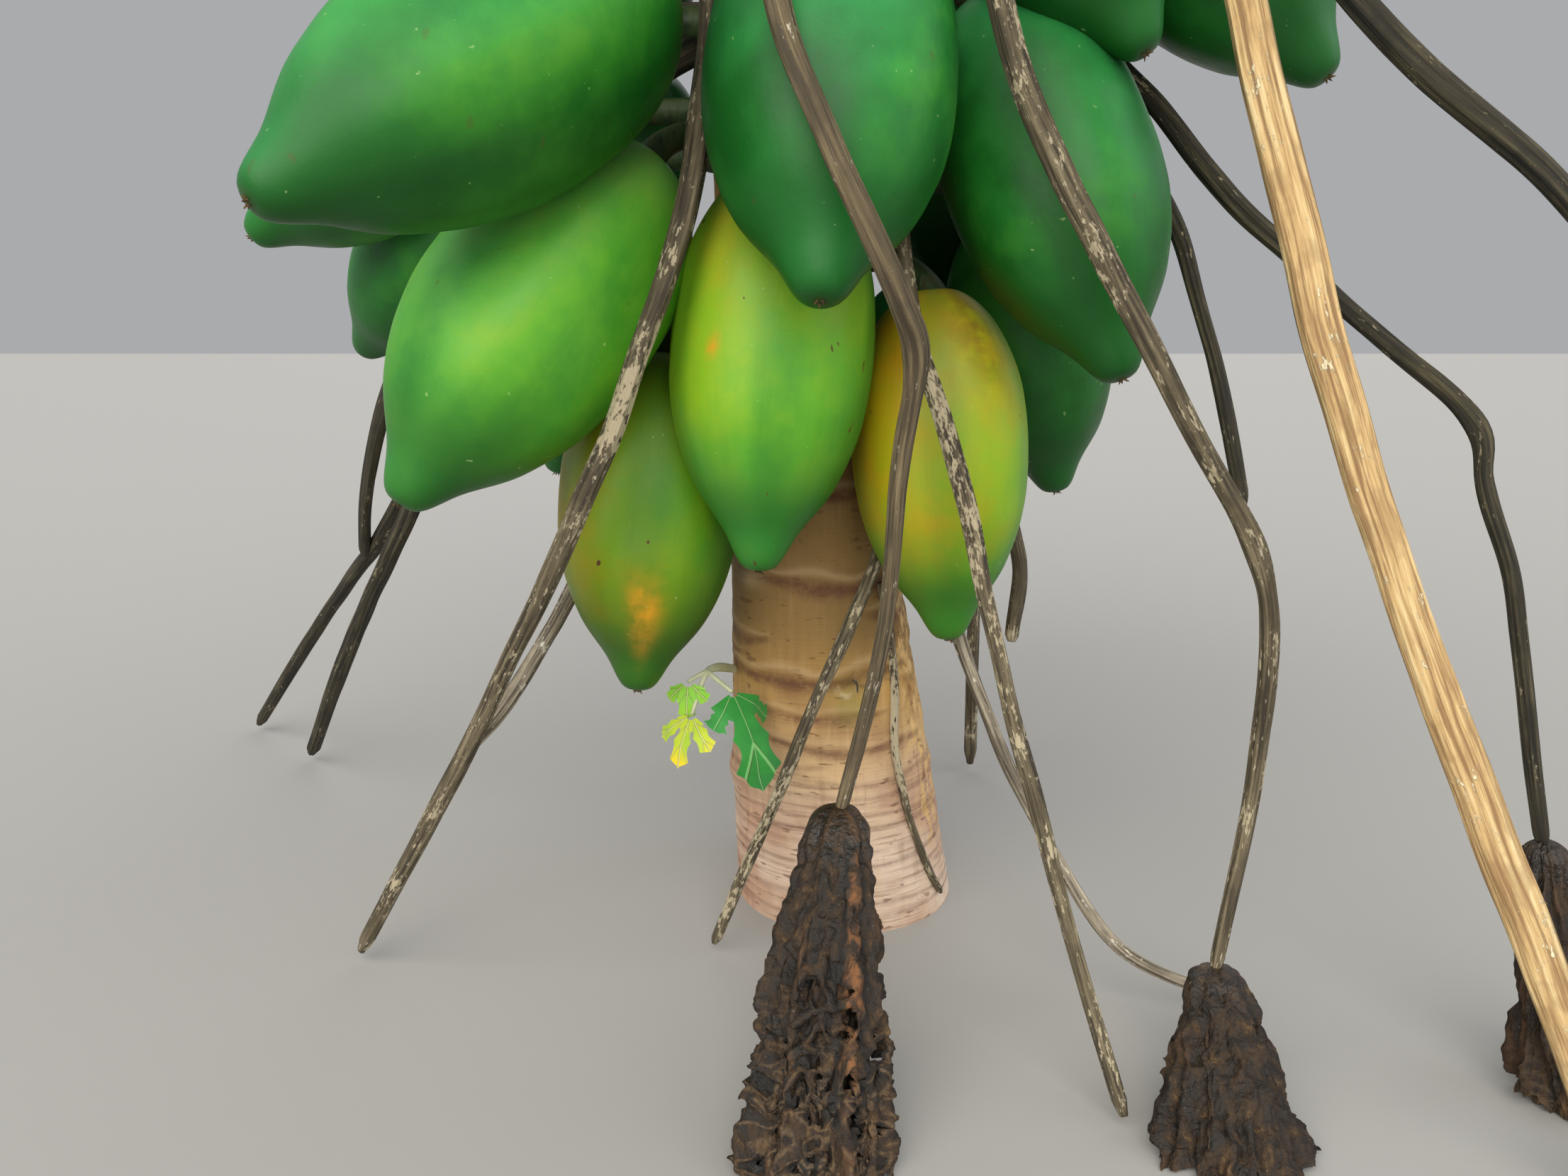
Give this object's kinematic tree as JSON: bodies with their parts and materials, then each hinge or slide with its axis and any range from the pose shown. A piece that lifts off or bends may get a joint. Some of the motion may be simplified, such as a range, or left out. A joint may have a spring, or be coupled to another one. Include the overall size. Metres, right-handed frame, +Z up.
{
  "type": "papaya tree",
  "caption": "Dwarf papaya tree with a leaning trunk, large hanging fruits, dead leaf stalks and a crown of lobed leaves.",
  "frame": {"origin": "middle of the flat cut under the trunk, at ground level", "axes": "+Z up along the trunk, -Y to the front, where the lowest fruits hang, +X to the right seen from the front"},
  "size_m": [1.2913, 1.3184, 1.8324],
  "materials": {
    "bark": "smooth tan bark with darker rings and scars",
    "fruit_green": "waxy green skin",
    "fruit_turning": "waxy skin turning from green to yellow",
    "fruit_ripe": "waxy yellow skin",
    "leaf_green": "matt leaf",
    "leaf_yellow": "matt yellowed leaf",
    "dead_stalk": "dry furrowed grey-brown skin",
    "straw_stalk": "dry straw-coloured skin",
    "dead_leaf": "dry crumpled leaf",
    "sprout": "matt leaf"
  },
  "bodies": {
    "root": {"trunk": "bark", "fruit_low_front": "fruit_turning", "fruit_low_left": "fruit_turning", "fruit_low_right": "fruit_ripe", "fruit_mid_front": "fruit_green", "fruit_mid_left": "fruit_green", "fruit_mid_right": "fruit_green", "fruit_high_left": "fruit_green", "fruit_high_right": "fruit_green", "fruit_outer_right": "fruit_green", "fruit_low_far_right": "fruit_green", "fruit_mid_far_left": "fruit_green", "fruit_low_far_left": "fruit_green", "fruit_outer_left": "fruit_green", "fruit_low_back_1": "fruit_green", "fruit_low_back_2": "fruit_green", "fruit_low_back_3": "fruit_green", "fruit_mid_back_1": "fruit_green", "fruit_mid_back_2": "fruit_green", "fruit_mid_back_3": "fruit_green", "fruit_high_back_1": "fruit_green", "fruit_high_back_2": "fruit_green", "fruit_high_back_3": "fruit_green", "fruit_high_back_4": "fruit_green", "young_fruits_low_1": "fruit_green", "young_fruits_low_2": "fruit_green", "young_fruits_low_3": "fruit_green", "young_fruits_high_1": "fruit_green", "young_fruits_high_2": "fruit_green", "young_fruits_high_3": "fruit_green", "stalk_front": "dead_stalk", "stalk_right": "dead_stalk", "stalk_far_right": "dead_stalk", "stalk_straw": "straw_stalk", "stalk_reaching": "dead_stalk", "stalk_left": "dead_stalk", "stalk_pale": "dead_stalk", "stalk_thin": "dead_stalk", "stalk_low_right": "dead_stalk", "stalks_behind_left": "dead_stalk", "stalks_back": "dead_stalk", "stalk_front_fallen": "dead_leaf", "stalk_right_fallen": "dead_leaf", "stalk_far_right_fallen": "dead_leaf", "leaf_1": "leaf_yellow", "leaf_2": "leaf_yellow", "leaf_3": "leaf_yellow", "leaf_4": "leaf_yellow", "leaf_5": "leaf_yellow", "leaf_6": "leaf_green", "leaf_7": "leaf_green", "leaf_8": "leaf_green", "leaf_9": "leaf_green", "leaf_10": "leaf_green", "leaf_11": "leaf_green", "leaf_12": "leaf_green", "leaf_13": "leaf_green", "leaf_14": "leaf_green", "young_leaves": "leaf_green", "trunk_sprout": "sprout"}
  },
  "joints": []
}
